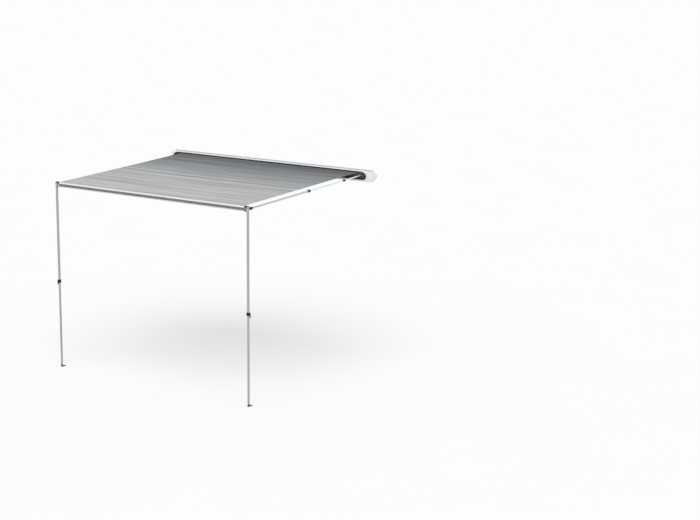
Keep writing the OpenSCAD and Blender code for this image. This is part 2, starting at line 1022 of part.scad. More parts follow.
module rafter_inner(side) {
  boot_start = rafter_len(side) - boot_len;
  color(aluminium)
    at_rafter(side)
      tube_y(boot_start - inner_len, boot_start, inner_d);
}

// Twist collar on the end of one tube, with a lip round the next tube and grip ribs
module twist_collar(side, tube_end, tube_d) {
  start = tube_end + collar_lip - collar_len;
  outer_d = tube_d + 2 * collar_wall;
  color(black)
    at_rafter(side)
      difference() {
        union() {
          bar_y(start, tube_end + collar_lip, outer_d);
          for (rib = [0 : collar_ribs - 1])
            rotate([0, 360 * rib / collar_ribs, 0])
              translate([outer_d / 2 - rib_d / 4, 0, 0])
                bar_y(start + rib_d, tube_end, rib_d);
        }
        bar_y(start - over, tube_end + moving_gap, tube_d + 2 * running);
        bar_y(start, tube_end + 2 * collar_lip, tube_d - 2 * rafter_wall);
      }
}

// Rounded boot on the inner tube, which rests against the bag's back
module rafter_boot(side) {
  tip = rafter_len(side);
  color(pale_grey)
    at_rafter(side) {
      bar_y(tip - boot_len - boot_plug, tip - boot_len, inner_d - 2 * (rafter_wall + plug_gap));
      bar_y(tip - boot_len, tip - boot_r, boot_d);
      translate([0, tip - boot_r, 0])
        sphere(boot_r);
    }
}

bag_back();
bag_top();
bag_floor();
bag_end(right);  // bag_end_right
bag_end(left);  // bag_end_left
rail_bead();
bead_tape();
zip_tape_upper();
zip_tape_lower();
zip_slider();
zip_pull();
canopy_fabric();
front_bead();
roller_back();
roller_upper();
roller_lower();
roller_plug(right);  // roller_plug_right
roller_plug(left);  // roller_plug_left
roller_cap(right);  // roller_cap_right
roller_cap(left);  // roller_cap_left
cap_screws();
bracket(right);  // bracket_right
bracket(left);  // bracket_left
rafter_pins();
leg_yoke(right);  // leg_yoke_right
leg_yoke(left);  // leg_yoke_left
leg_pin(right);  // leg_pin_right
leg_pin(left);  // leg_pin_left
leg_head(right);  // leg_head_right
leg_head(left);  // leg_head_left
leg_upper_tube(right);  // leg_upper_tube_right
leg_upper_tube(left);  // leg_upper_tube_left
leg_clamp(right);  // leg_clamp_right
leg_clamp(left);  // leg_clamp_left
clamp_lever(right);  // clamp_lever_right
clamp_lever(left);  // clamp_lever_left
leg_lower_tube(right);  // leg_lower_tube_right
leg_lower_tube(left);  // leg_lower_tube_left
leg_glide(right);  // leg_glide_right
leg_glide(left);  // leg_glide_left
foot_tongue(right);  // foot_tongue_right
foot_tongue(left);  // foot_tongue_left
foot_plate(right);  // foot_plate_right
foot_plate(left);  // foot_plate_left
foot_pad(right);  // foot_pad_right
foot_pad(left);  // foot_pad_left
rafter_knuckle(right);  // rafter_knuckle_right
rafter_knuckle(left);  // rafter_knuckle_left
rafter_outer(right);  // rafter_outer_right
rafter_outer(left);  // rafter_outer_left
twist_collar(right, outer_end, rafter_d);  // outer_collar_right
twist_collar(left, outer_end, rafter_d);  // outer_collar_left
rafter_middle(right);  // rafter_middle_right
rafter_middle(left);  // rafter_middle_left
twist_collar(right, middle_end, middle_d);  // middle_collar_right
twist_collar(left, middle_end, middle_d);  // middle_collar_left
rafter_inner(right);  // rafter_inner_right
rafter_inner(left);  // rafter_inner_left
rafter_boot(right);  // rafter_boot_right
rafter_boot(left);  // rafter_boot_left
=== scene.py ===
"""Dresses the frame of a roll out awning: canopy cloth, sheet bag, zip and real finishes, in a pale studio."""

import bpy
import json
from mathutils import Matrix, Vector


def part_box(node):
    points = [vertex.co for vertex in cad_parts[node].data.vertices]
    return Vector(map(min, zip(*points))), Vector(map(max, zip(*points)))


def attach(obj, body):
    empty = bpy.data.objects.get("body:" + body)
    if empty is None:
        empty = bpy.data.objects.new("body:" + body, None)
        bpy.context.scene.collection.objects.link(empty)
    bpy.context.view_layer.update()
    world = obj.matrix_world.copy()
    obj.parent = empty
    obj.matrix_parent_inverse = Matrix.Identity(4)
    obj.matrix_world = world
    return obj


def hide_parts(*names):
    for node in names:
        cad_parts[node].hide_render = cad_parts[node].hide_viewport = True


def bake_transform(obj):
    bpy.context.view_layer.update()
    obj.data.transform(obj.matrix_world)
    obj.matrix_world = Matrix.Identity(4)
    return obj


bl_info = {
    "name": "Roll out awning",
    "version": (1, 0, 0),
    "blender": (4, 5, 0),
    "location": "3D View > Sidebar > Awning",
    "description": "Builds the cloth, bag, zip and finishes of a roll out awning on its frame",
    "category": "Object",
}

import json
import math
from functools import partial

import bmesh
import bpy
import numpy as np
from bpy.props import FloatProperty, FloatVectorProperty, PointerProperty
from mathutils import Matrix

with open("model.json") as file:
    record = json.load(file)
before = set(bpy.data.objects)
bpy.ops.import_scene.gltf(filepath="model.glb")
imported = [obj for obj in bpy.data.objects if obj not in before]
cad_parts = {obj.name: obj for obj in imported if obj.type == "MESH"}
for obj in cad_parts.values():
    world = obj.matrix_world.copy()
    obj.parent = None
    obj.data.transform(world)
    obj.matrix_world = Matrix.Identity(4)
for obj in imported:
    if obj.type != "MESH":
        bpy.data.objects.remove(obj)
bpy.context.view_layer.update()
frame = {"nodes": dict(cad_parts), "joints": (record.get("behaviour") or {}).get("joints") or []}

NODES = frame["nodes"]
JOINTS = {joint["name"]: joint for joint in frame["joints"]}
MM = 0.001

# Directions across the canopy, along it away from the wall, and square to it
ACROSS = np.array([1.0, 0.0, 0.0])
DOWN = np.array(JOINTS["roll_out"]["axis"], float)
UP = np.array([0.0, DOWN[2], -DOWN[1]])
SLOPE = math.atan2(-DOWN[2], -DOWN[1])
ROLLER = np.array(JOINTS["roller_turn"]["pos_m"], float)

# Canopy: thickness and cut size, its rear edge's middle, the way along it to the roller's top and its radius there
CANOPY_LOW, CANOPY_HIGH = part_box("canopy_fabric")
CANOPY_T = 1 * MM
CANOPY_W = CANOPY_HIGH.x - CANOPY_LOW.x
CANOPY_L = (CANOPY_HIGH.y - CANOPY_LOW.y - CANOPY_T * math.sin(SLOPE)) / math.cos(SLOPE)
CANOPY_REAR = np.array([0.0, CANOPY_HIGH.y, CANOPY_HIGH.z - CANOPY_T * math.cos(SLOPE)]) + UP * CANOPY_T / 2
TANGENT = float((ROLLER - CANOPY_REAR) @ DOWN)
WRAP_R = float((CANOPY_REAR - ROLLER) @ UP)
# Share of the sag that the bound side edges keep
EDGE_SAG = 0.2
# Ripples across the canopy: radians to a metre, where each starts, and its share of the height
RIPPLES = ((13.1, 0.7, 0.5), (23.7, 2.1, 0.3), (41.3, 0.0, 0.2))

# Bag: outline of its section and of its mouth
BAG_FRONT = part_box("bag_top")[0].y
BAG_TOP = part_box("bag_top")[1].z
BAG_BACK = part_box("bag_back")[1].y
BAG_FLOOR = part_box("bag_floor")[0].z
MOUTH_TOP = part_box("bag_top")[0].z
MOUTH_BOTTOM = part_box("bag_floor")[1].z
MOUTH_MID = (MOUTH_TOP + MOUTH_BOTTOM) / 2
MOUTH_R = (MOUTH_TOP - MOUTH_BOTTOM) / 2
PANEL_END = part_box("bag_top")[1].x
# The upper lip sweeps down to the mouth's end over this length, from the end of its straight part
SWEEP = 105 * MM
LIP_END = PANEL_END + MOUTH_R - SWEEP
BAG_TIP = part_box("bag_end_right")[1].x
# The bead's ends are 10 mm inside the bag's square ends
BAG_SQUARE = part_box("rail_bead")[1].x + 10 * MM
BAG_MIDDLE = (BAG_TOP + BAG_FLOOR) / 2
UPPER_ROUND = BAG_TOP - MOUTH_TOP
LOWER_ROUND = 14 * MM
BACK_ROUND = 3 * MM
TIP_DEPTH = 14 * MM
TIP_HEIGHT = 30 * MM
# Past the mouth the closed front bellies out over this length, by this share of the bulge
CLOSE_IN, END_BELLY = 20 * MM, 0.6
# Power that rounds the taper, and how far the caps of end rows stand out
TAPER_CURVE, CAP = 1.3, 1 * MM
# Steps along a straight lip and along the sweep at its end, and columns of the bag's front and of the zip's facing
LIP_STEPS, SWEEP_STEPS, FRONT_COLUMNS, FACING_COLUMNS = 121, 29, 9, 7
LIP_X = np.linspace(-LIP_END, LIP_END, LIP_STEPS)
# Way along the canopy to the bag's mouth
MOUTH_ALONG = -BAG_FRONT / math.cos(SLOPE)

# Welt: the bead's end and radius, and the tape's thickness and lower edge
BEAD_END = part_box("rail_bead")[1].x
BEAD_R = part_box("rail_bead")[1].z
WELT_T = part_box("bead_tape")[1].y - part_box("bead_tape")[0].y
WELT_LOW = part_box("bead_tape")[0].z

# Zip tapes: their faces along Y and their widths
TAPE_FRONT, TAPE_BACK = (corner.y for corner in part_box("zip_tape_upper"))
UPPER_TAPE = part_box("zip_tape_upper")[1].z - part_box("zip_tape_upper")[0].z
LOWER_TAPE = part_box("zip_tape_lower")[1].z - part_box("zip_tape_lower")[0].z

# Level that the feet stand on
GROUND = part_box("foot_pad_right")[0].z


def linear(code):
    """Linear colour of an sRGB hex code: the standard curve, undone for each channel."""
    srgb = [int(code[i:i + 2], 16) / 255 for i in (1, 3, 5)]
    return tuple(c / 12.92 if c <= 0.04045 else ((c + 0.055) / 1.055) ** 2.4 for c in srgb)


def length(name, description, default, top):
    """Property that holds a length in metres."""
    return FloatProperty(name=name, description=description, default=default, min=0.0, max=top, unit="LENGTH",
                         subtype="DISTANCE", precision=5)


def colour(name, description, code):
    """Property that holds a colour, given as an sRGB hex code."""
    return FloatVectorProperty(name=name, description=description, default=linear(code), min=0.0, max=1.0,
                               subtype="COLOR", size=3)


class AwningSizes(bpy.types.PropertyGroup):
    """Sizes of the soft pieces that a user would change."""
    canopy_sag: length("Canopy sag", "Depth of the canopy's hang at mid span", 9 * MM, 14 * MM)
    edge_pull: length("Edge pull", "How far the canopy's side edges draw in at mid span", 5 * MM, 15 * MM)
    ripple: length("Ripple", "Height of the canopy's tension ripples", 0.7 * MM, 2 * MM)
    binding: length("Binding", "Width of the binding on the canopy's side edges", 22 * MM, 40 * MM)
    binding_t: length("Binding tape", "Thickness of the binding tape", 0.6 * MM, 0.8 * MM)
    stitch: length("Stitch", "Length of one stitch", 5 * MM, 8 * MM)
    stitch_pitch: length("Stitch pitch", "Distance from one stitch to the next", 7 * MM, 12 * MM)
    thread: length("Thread", "Thickness of the sewing thread", 0.8 * MM, 1.5 * MM)
    bag_sheet: length("Bag sheet", "Thickness of the bag's sheet", 1.6 * MM, 2 * MM)
    bag_bulge: length("Bag bulge", "How far the bag's sheet bellies out", 4 * MM, 8 * MM)
    facing: length("Zip facing", "Width of the zip tape's facing over the bag's upper front edge", 9 * MM, 9.4 * MM)
    piping: length("Piping", "Diameter of the piping on the bag's front edges", 5 * MM, 8 * MM)
    tooth_pitch: length("Tooth pitch", "Distance from one zip tooth to the next", 5 * MM, 10 * MM)


class AwningColours(bpy.types.PropertyGroup):
    """Colours of the finishes."""
    # The colour at the wall is the print's dark end with painted shade from the bag's lip on it
    canopy_wall_and_shade: colour("Canopy at the wall", "Canopy cloth at the bag", "#58595c")
    canopy_middle: colour("Canopy middle", "Canopy cloth at mid span", "#929699")
    canopy_front: colour("Canopy front", "Canopy cloth at the lead roller", "#c0c0c0")
    sheet: colour("Bag sheet", "Coated sheet of the bag", "#e9ebeb")
    lining: colour("Bag lining", "Inner face of the bag", "#8b8e91")
    zip_black: colour("Zip", "Zip tape, teeth, slider and pull", "#1d1e20")
    bead_tape: colour("Bead tape", "Rail bead and the woven tape that joins it to the bag", "#d2d5d6")
    leg: colour("Legs", "Anodised leg tubes and yokes", "#aeb0b2")
    rafter: colour("Outer rafters", "Anodised outer tubes of the rafters", "#c4c7c9")
    rafter_slim: colour("Slim rafters", "Bright anodised middle and inner tubes of the rafters", "#e8ebed")
    roller: colour("Roller", "Bright anodised lead roller", "#e4e6e8")
    steel: colour("Steel", "Zinc plated pins and screws", "#babdc0")
    nylon: colour("Black nylon", "Brackets, clamps and collars", "#151617")
    grey: colour("Grey moulding", "Roller plugs, leg heads, rafter knuckles and boots", "#b9bcbe")
    foot: colour("Foot moulding", "Foot plates, tongues and glides", "#4c4f52")
    rubber: colour("Rubber", "Foot pads", "#202122")
    floor: colour("Floor", "Studio floor", "#fdfdfd")


# Surfaces

def ease(t):
    """Smooth step from 0 to 1: three t squared less two t cubed."""
    t = np.clip(t, 0, 1)
    return t * t * (3 - 2 * t)


def built(name, points, faces):
    """Object of points and faces, at the origin and in the scene."""
    mesh = bpy.data.meshes.new(name)
    mesh.from_pydata(points.reshape(-1, 3).tolist(), [], faces.tolist())
    made = bpy.data.objects.new(name, mesh)
    bpy.context.scene.collection.objects.link(made)
    return made


def surface(name, points, uv, around=False, ring=False, soft=True):
    """Object of a grid of points, rows by columns: each cell is one quad whose corners go row, next row, column.

    around joins the last column to the first and ring the last row to the first; uv has a value for every point
    of the grid with the joined rows and columns repeated."""
    index = np.arange(points.shape[0] * points.shape[1]).reshape(points.shape[:2])
    if ring:
        index = np.concatenate([index, index[:1]], 0)
    if around:
        index = np.concatenate([index, index[:, :1]], 1)

    def corners(grid):
        return np.stack([grid[:-1, :-1], grid[1:, :-1], grid[1:, 1:], grid[:-1, 1:]], 2)

    quads = corners(index).reshape(-1, 4)
    made = built(name, points, quads)
    made.data.polygons.foreach_set("use_smooth", np.full(len(quads), soft))
    layer = made.data.uv_layers.new(name="Cut")
    layer.data.foreach_set("uv", corners(uv).astype(np.float32).ravel())
    made.data.update()
    return made


def plan(first, second):
    """UV grid in metres from the distances along the rows and along the columns."""
    return np.stack(np.meshgrid(first, second, indexing="ij"), 2)


def walked(points):
    """Distance walked along a line of points from its start: the running sum of the steps' lengths."""
    steps = np.linalg.norm(np.diff(points, axis=0), axis=1)
    return np.concatenate([[0.0], np.cumsum(steps)])


def paced(points, pitch, values=None):
    """Points at an even pitch along a line, or the line's own values there: each coordinate read off against the
    distance walked."""
    distance = walked(points)
    places = np.arange(pitch / 2, distance[-1], pitch)
    read = points if values is None else values
    return np.stack([np.interp(places, distance, read[:, axis]) for axis in range(3)], 1)


def unit(vectors):
    """Vectors scaled to a length of one."""
    return vectors / np.linalg.norm(vectors, axis=-1, keepdims=True)


def headings(points):
    """Unit direction of a line at each of its points, from the difference of its neighbours."""
    return unit(np.gradient(points, axis=0))


def repeated(name, centres, along, out, size, shape, faces):
    """Object of one small shape at every centre: shape's columns are steps along, out and sideways of it,
    where sideways is along crossed with out, each times that size."""
    along, out = np.broadcast_to(along, centres.shape), np.broadcast_to(out, centres.shape)
    axes = np.stack([along, out, np.cross(along, out)], 1) * np.asarray(size)[None, :, None]
    points = centres[:, None, :] + np.einsum("vk,nkx->nvx", shape, axes)
    offset = np.arange(len(centres))[:, None, None] * len(shape)
    return built(name, points, (faces[None] + offset).reshape(-1, faces.shape[1]))


# A stitch is a long diamond, and a zip tooth a block with a narrower crown
STITCH = np.array([[0.5, 0, 0], [-0.5, 0, 0], [0, 0.5, 0], [0, -0.5, 0], [0, 0, 0.5], [0, 0, -0.5]])
STITCH_FACES = np.array([[0, 2, 4], [2, 1, 4], [1, 3, 4], [3, 0, 4], [2, 0, 5], [1, 2, 5], [3, 1, 5], [0, 3, 5]])
TOOTH = np.array([[-0.5, -0.5, -0.5], [0.5, -0.5, -0.5], [0.5, -0.5, 0.5], [-0.5, -0.5, 0.5],
                  [-0.35, 0.5, -0.5], [0.35, 0.5, -0.5], [0.35, 0.5, 0.5], [-0.35, 0.5, 0.5]])
TOOTH_FACES = np.array([[0, 1, 2, 3], [7, 6, 5, 4], [0, 4, 5, 1], [1, 5, 6, 2], [2, 6, 7, 3], [3, 7, 4, 0]])


def stitches(name, centres, along, out, sizes):
    """Object of a stitch at every centre, lying along the seam."""
    return repeated(name, centres, along, out, (sizes.stitch, sizes.thread, sizes.thread), STITCH, STITCH_FACES)


def canopy_at(across, along, lift, sizes):
    """Canopy's middle surface, lifted along its normal, at places across and along it.

    The line runs straight down the slope from the bag's back, and past the roller's top it bends round the roller
    as an arc. Between the mouth and the roller it hangs by a parabola times a cosine across, which is least at the
    bound side edges. It carries low tension ripples made of sine waves across, and its side edges draw in by the same
    parabola."""
    hang = np.clip((along - MOUTH_ALONG) / (TANGENT - MOUTH_ALONG), 0, 1)
    bow = 4 * hang * (1 - hang)
    turn = np.clip(along - TANGENT, 0, None) / WRAP_R
    waves = sum(share * np.sin(across * turns + start) for turns, start, share in RIPPLES)
    slump = EDGE_SAG + (1 - EDGE_SAG) * np.cos(math.pi * across / CANOPY_W)
    drop = bow * (sizes.canopy_sag * slump + sizes.ripple * waves)
    x = across * (1 - 2 * sizes.edge_pull / CANOPY_W * bow)
    run = np.minimum(along, TANGENT) + (WRAP_R + lift) * np.sin(turn)
    rise = (WRAP_R + lift) * np.cos(turn) - WRAP_R - drop
    return CANOPY_REAR + x[..., None] * ACROSS + run[..., None] * DOWN + rise[..., None] * UP


def bag_columns():
    """Bag's section between its two front edges, as points in Y and Z and their share of the belly in each.

    It goes round the upper front edge, over the top, round the back's corners and down the back, along the floor
    and round the lower front edge. The belly is a half sine over the top and under the floor."""
    def arc(y, z, radius, first, last, count):
        turn = np.radians(np.linspace(first, last, count))
        return np.stack([y + radius * np.cos(turn), z + radius * np.sin(turn)], 1)

    def line(start, end, count):
        return np.linspace(start, end, count)[1:-1]

    upper_y, lower_y, back_y = BAG_FRONT + UPPER_ROUND, BAG_FRONT + LOWER_ROUND, BAG_BACK - BACK_ROUND
    parts = [
        (arc(upper_y, BAG_TOP - UPPER_ROUND, UPPER_ROUND, 180, 90, count=7), 0.0),
        (line([upper_y, BAG_TOP], [back_y, BAG_TOP], count=16), 1.0),
        (arc(back_y, BAG_TOP - BACK_ROUND, BACK_ROUND, 90, 0, count=5), 0.0),
        (line([BAG_BACK, BAG_TOP - BACK_ROUND], [BAG_BACK, BAG_FLOOR + BACK_ROUND], count=12), 0.0),
        (arc(back_y, BAG_FLOOR + BACK_ROUND, BACK_ROUND, 0, -90, count=5), 0.0),
        (line([back_y, BAG_FLOOR], [lower_y, BAG_FLOOR], count=16), -1.0),
        (arc(lower_y, BAG_FLOOR + LOWER_ROUND, LOWER_ROUND, -90, -180, count=9), 0.0),
    ]
    belly = [sign * np.sin(np.linspace(0, math.pi, len(points) + 2))[1:-1] for points, sign in parts]
    return np.concatenate([points for points, _ in parts]), np.concatenate(belly)


def bag_places():
    """Places along X of the bag's rows: wide steps along the straight lips, then steps that follow the mouth's
    round end, the square end and the taper, the same on both sides."""
    square_steps, taper_steps = 10, 14
    round_end = LIP_END + SWEEP * np.sin(np.linspace(0, math.pi / 2, SWEEP_STEPS))[1:]
    square = np.linspace(LIP_END + SWEEP, BAG_SQUARE, square_steps)[1:]
    taper = np.linspace(BAG_SQUARE, BAG_TIP - CAP, taper_steps)[1:]
    end = np.concatenate([round_end, square, taper])
    return np.concatenate([-end[::-1], LIP_X, end])


def bag_at(x, sizes):
    """Bag's outer sheet, rows along X by columns round the section from the upper lip to the lower lip.

    The lips are straight, follow a quarter ellipse above and a quarter circle below at the mouth's ends, and meet
    beyond it. The top and floor belly by the section's share times a slow product of sines along X, and the closed
    ends belly to the front as a parabola. Past the square end each section shrinks to the flat tip at the wall."""
    past = (np.abs(x)[:, None] - [LIP_END, PANEL_END]) / [SWEEP, MOUTH_R]
    above, below = MOUTH_R * np.sqrt(1 - np.clip(past, 0, 1) ** 2).T
    section, belly = bag_columns()
    # The sheet's slack swings about its mean by two slow waves, in radians to a metre
    mean, swing = 0.75, 0.25
    slack = mean + swing * np.sin(x * 9.3 + 0.4) * np.sin(x * 3.1 + 1.7)
    share = np.linspace(0, 1, FRONT_COLUMNS)[:-1]
    upper = (MOUTH_MID + above)[:, None] + (MOUTH_TOP - MOUTH_MID - above)[:, None] * share
    low_start = BAG_FLOOR + LOWER_ROUND
    lower = low_start + (MOUTH_MID - below - low_start)[:, None] * (1 - share[::-1])
    z = np.concatenate([upper, section[:, 1] + sizes.bag_bulge * slack[:, None] * belly, lower], 1)
    closed = ease((np.abs(x) - PANEL_END - MOUTH_R) / CLOSE_IN)[:, None]
    edge = np.ones(len(share))
    front = np.concatenate([edge, np.zeros(len(section)), edge])
    y = np.concatenate([edge * BAG_FRONT, section[:, 0], edge * BAG_FRONT])
    y = y - sizes.bag_bulge * END_BELLY * closed * front * np.maximum(1 - ((z - MOUTH_MID) / MOUTH_R) ** 2, 0)
    taper = np.clip((np.abs(x) - BAG_SQUARE) / (BAG_TIP - CAP - BAG_SQUARE), 0, 1)[:, None] ** TAPER_CURVE
    tip_y = BAG_BACK + (y - BAG_BACK) * TIP_DEPTH / (BAG_BACK - BAG_FRONT)
    tip_z = MOUTH_MID + (z - BAG_MIDDLE) * TIP_HEIGHT / (BAG_TOP - BAG_FLOOR)
    y = y + (tip_y - y) * taper
    z = z + (tip_z - z) * taper
    return np.stack(np.broadcast_arrays(x[:, None], y, z), 2)


def capped(points):
    """Grid of points with each end row drawn in to its own middle, partly and then fully, a little further out."""
    partly = 0.6

    def cap(row, way):
        middle = row.mean(0)
        outward = np.array([way * CAP, 0.0, 0.0])
        return np.stack([middle + (row - middle) * partly + outward, np.broadcast_to(middle, row.shape) + outward])

    return np.concatenate([cap(points[0], -1)[::-1], points, cap(points[-1], 1)])


def welt_at(x):
    """Welt that slides into the wall rail: one tape wrapped round the bead and sewn flat below it.

    Its section goes up the front of the flat, over the bead as an arc that starts and ends where the flat's faces
    meet it, and down the back. It waves along X by a slow sine of a fraction of a millimetre, least at the bead.
    The end rows are drawn in to the section's own middle line, which closes them."""
    bead_steps, flat_steps = 25, 8
    meet = math.asin(WELT_T / 2 / BEAD_R)
    turn = np.linspace(-math.pi / 2 - meet, -2 * math.pi + meet, bead_steps)
    flat = np.linspace(WELT_LOW, -BEAD_R * math.cos(meet), flat_steps + 1)[:-1]
    side = np.full(flat_steps, WELT_T / 2)
    y = np.concatenate([-side, BEAD_R * np.cos(turn), side])
    z = np.concatenate([flat, BEAD_R * np.sin(turn), flat[::-1]])
    # The wave starts 4 mm below the bead's middle and is full 8 mm further down
    height, turns, start, full = 0.25 * MM, 17.0, 4 * MM, 8 * MM
    wave = height * np.sin(x * turns)[:, None] * np.clip((-z - start) / full, 0, 1)
    rows = np.stack(np.broadcast_arrays(x[:, None], y + wave, z), 2)
    middle = np.maximum(flat, WELT_LOW + WELT_T / 2)
    spine = np.concatenate([middle, np.zeros(bead_steps), middle[::-1]])
    ends = np.stack(np.broadcast_arrays(x[[0, -1], None], 0.0, spine), 2)
    return np.concatenate([ends[:1], rows, ends[1:]])


def mouth_loop():
    """Mouth's outline seen from the front, walked clockwise from the upper left: points, the inward direction at
    each, and the tape's width, which eases from the upper tape's to the lower tape's round the ends.

    Between its straight lips each end is a quarter ellipse down to mid height and a quarter circle below it."""
    turn_steps = 17
    sweep = np.linspace(math.pi / 2, 0, SWEEP_STEPS)[1:]
    turn = np.linspace(0, -math.pi / 2, turn_steps)[1:-1]
    angle = np.concatenate([sweep, turn])
    steps = [len(sweep), len(turn)]
    centre, long = np.repeat([LIP_END, PANEL_END], steps), np.repeat([SWEEP, MOUTH_R], steps)
    end = np.stack([centre + long * np.cos(angle), MOUTH_MID + MOUTH_R * np.sin(angle)], 1)
    inner = -unit(np.stack([MOUTH_R * np.cos(angle), long * np.sin(angle)], 1))
    upper = np.stack([LIP_X, np.full(LIP_STEPS, MOUTH_TOP)], 1)
    lower = np.stack([np.linspace(PANEL_END, -PANEL_END, LIP_STEPS), np.full(LIP_STEPS, MOUTH_BOTTOM)], 1)
    other = np.array([-1.0, 1.0])
    outline = np.concatenate([upper, end, lower, end[::-1] * other])
    inward = np.concatenate([np.tile([0.0, -1.0], (LIP_STEPS, 1)), inner,
                             np.tile([0.0, 1.0], (LIP_STEPS, 1)), inner[::-1] * other])
    width = UPPER_TAPE + (LOWER_TAPE - UPPER_TAPE) * ease((MOUTH_TOP - outline[:, 1]) / (2 * MOUTH_R))
    return outline, inward, width


def facing_at(width, proud):
    """Facing of the zip tape on the bag's outside, rows along the mouth's upper half by columns outwards from it.

    Its inner edge is the mouth's outline. Its width eases from nothing at mid height to the full width along the
    top, where what rises past the straight lip is wound round the bag's upper front edge. proud lifts it off."""
    turn = np.linspace(math.pi, math.pi / 2, SWEEP_STEPS)[:-1]
    angle = np.concatenate([turn, np.full(LIP_STEPS, math.pi / 2), math.pi - turn[::-1]])
    centre = np.concatenate([np.full(len(turn), -LIP_END), LIP_X, np.full(len(turn), LIP_END)])
    out = unit(np.stack([MOUTH_R * np.cos(angle), SWEEP * np.sin(angle)], 1))
    reach = width * ease(np.sin(angle))[:, None] * np.linspace(0, 1, FACING_COLUMNS)
    x = (centre + SWEEP * np.cos(angle))[:, None] + reach * out[:, :1]
    rise = (MOUTH_MID + MOUTH_R * np.sin(angle))[:, None] + reach * out[:, 1:]
    wound = np.maximum(rise - MOUTH_TOP, 0) / UPPER_ROUND
    y = BAG_FRONT + UPPER_ROUND - (UPPER_ROUND + proud) * np.cos(wound)
    z = np.minimum(rise, MOUTH_TOP) + (UPPER_ROUND + proud) * np.sin(wound)
    return np.stack([x, y, z], 2)


def tube(name, path, radius, sides=10):
    """Object of a round cord: a circle in Y and Z carried along a line that runs mostly along X."""
    turn = np.linspace(2 * math.pi, 0, sides, endpoint=False)
    ring = np.stack([np.zeros(sides), np.cos(turn), np.sin(turn)], 1) * radius
    points = path[:, None, :] + ring[None]
    uv = plan(walked(path), np.linspace(0, 2 * math.pi * radius, sides + 1))
    uv = np.concatenate([uv[:1], uv[:1], uv, uv[-1:], uv[-1:]])
    return close(surface(name, capped(points), uv, around=True))


def close(made):
    """The same object, its doubled points merged where the surface meets itself, which closes seams and poles."""
    doubled = 0.01 * MM
    work = bmesh.new()
    work.from_mesh(made.data)
    bmesh.ops.remove_doubles(work, verts=work.verts, dist=doubled)
    work.to_mesh(made.data)
    work.free()
    made.data.update()
    return made


def thicken(made, thickness, offset, inner=0):
    """Gives a sheet its thickness; inner is how many material slots on its inner face's finish is."""
    solid = made.modifiers.new("Sheet", "SOLIDIFY")
    solid.thickness = thickness
    solid.offset = offset
    solid.use_quality_normals = True
    solid.material_offset = inner


# Finishes

def node(tree, kind, links=None, stops=None, read=0, **settings):
    """Adds a shader node with its settings, sets or links its inputs, and gives the output to read.

    stops are a colour ramp's places and colours."""
    made = tree.nodes.new("ShaderNode" + kind)
    for key, value in settings.items():
        setattr(made, key, value)
    for key, value in (links or {}).items():
        if isinstance(value, bpy.types.NodeSocket):
            tree.links.new(value, made.inputs[key])
        else:
            made.inputs[key].default_value = value
    for i, (place, shade) in enumerate(stops or []):
        stop = made.color_ramp.elements[i] if i < 2 else made.color_ramp.elements.new(place)
        stop.position = place
        stop.color = (*shade, 1.0)
    return made.outputs[read] if made.outputs else None


def fresh(name, kind="materials"):
    """New material or world with an empty node tree, and the function that adds nodes to that tree."""
    made = getattr(bpy.data, kind).new(name)
    made.use_nodes = True
    made.node_tree.nodes.clear()
    return made, partial(node, made.node_tree)


def grains(size):
    """Noise scale whose grains are this many metres across."""
    return 1 / size


def bands(pitch):
    """Wave scale whose bands repeat every this many metres; Blender's wave has 20 radians to a unit."""
    return 2 * math.pi / (20 * pitch)


def shade_of(rgb, factor):
    """Linear colour made lighter or darker by a factor."""
    return tuple(min(1.0, c * factor) for c in rgb)


def coated_canopy_cloth(colours):
    """Solution dyed polyester with a clear coat: matt, striped along the roller, printed dark at the wall, pale in
    front; painted shade from the bag's lip deepens the wall end.
    """
    made, add = fresh("Coated canopy cloth")
    cut = add("UVMap", uv_map="Cut")
    along = add("SeparateXYZ", {"Vector": cut}, read="Y")
    share = add("MapRange", {"Value": along, "From Min": 0.0, "From Max": CANOPY_L})
    # The gradient is printed; its colour at the wall is darkened further as painted shade under the bag's lip
    tone = add("ValToRGB", {"Fac": share}, stops=[
        (0.03, colours.canopy_wall_and_shade), (1.0, colours.canopy_front), (0.36, colours.canopy_middle),
        (0.56, shade_of(colours.canopy_front, 0.83))])
    # Woven stripes: broad ones about 85 mm wide with fine ones between, even across the whole width
    broad = add("TexNoise", {"W": along, "Scale": grains(85 * MM), "Detail": 2.5, "Roughness": 0.65},
                noise_dimensions="1D")
    stripe = add("MapRange", {"Value": broad, "From Min": 0.3, "From Max": 0.7, "To Min": 0.78, "To Max": 1.17})
    # Streaks that winding leaves: 70 mm wide and 1.4 m long
    drawn = add("Mapping", {"Vector": cut, "Scale": (0.05, 1.0, 1.0)})
    streak = add("TexNoise", {"Vector": drawn, "Scale": grains(70 * MM), "Detail": 2.0}, noise_dimensions="2D")
    worn = add("MapRange", {"Value": streak, "From Min": 0.3, "From Max": 0.7, "To Min": 0.87, "To Max": 1.1})
    shade = add("Math", {0: stripe, 1: worn}, operation="MULTIPLY")
    striped = add("VectorMath", {0: tone, 1: shade}, operation="MULTIPLY")
    # Threads are 0.6 mm apart, too fine to show, so the weave is drawn 6 mm apart
    warp = add("TexWave", {"Vector": cut, "Scale": bands(6 * MM)}, bands_direction="X", read="Fac")
    weft = add("TexWave", {"Vector": cut, "Scale": bands(6 * MM)}, bands_direction="Y", read="Fac")
    weave = add("Math", {0: warp, 1: weft}, operation="MULTIPLY")
    bump = add("Bump", {"Strength": 0.25, "Distance": 0.3 * MM, "Height": weave})
    shader = add("BsdfPrincipled", {"Base Color": striped, "Roughness": 0.78, "IOR": 1.5,
                                    "Specular IOR Level": 0.15, "Normal": bump})
    add("OutputMaterial", {"Surface": shader})
    return made


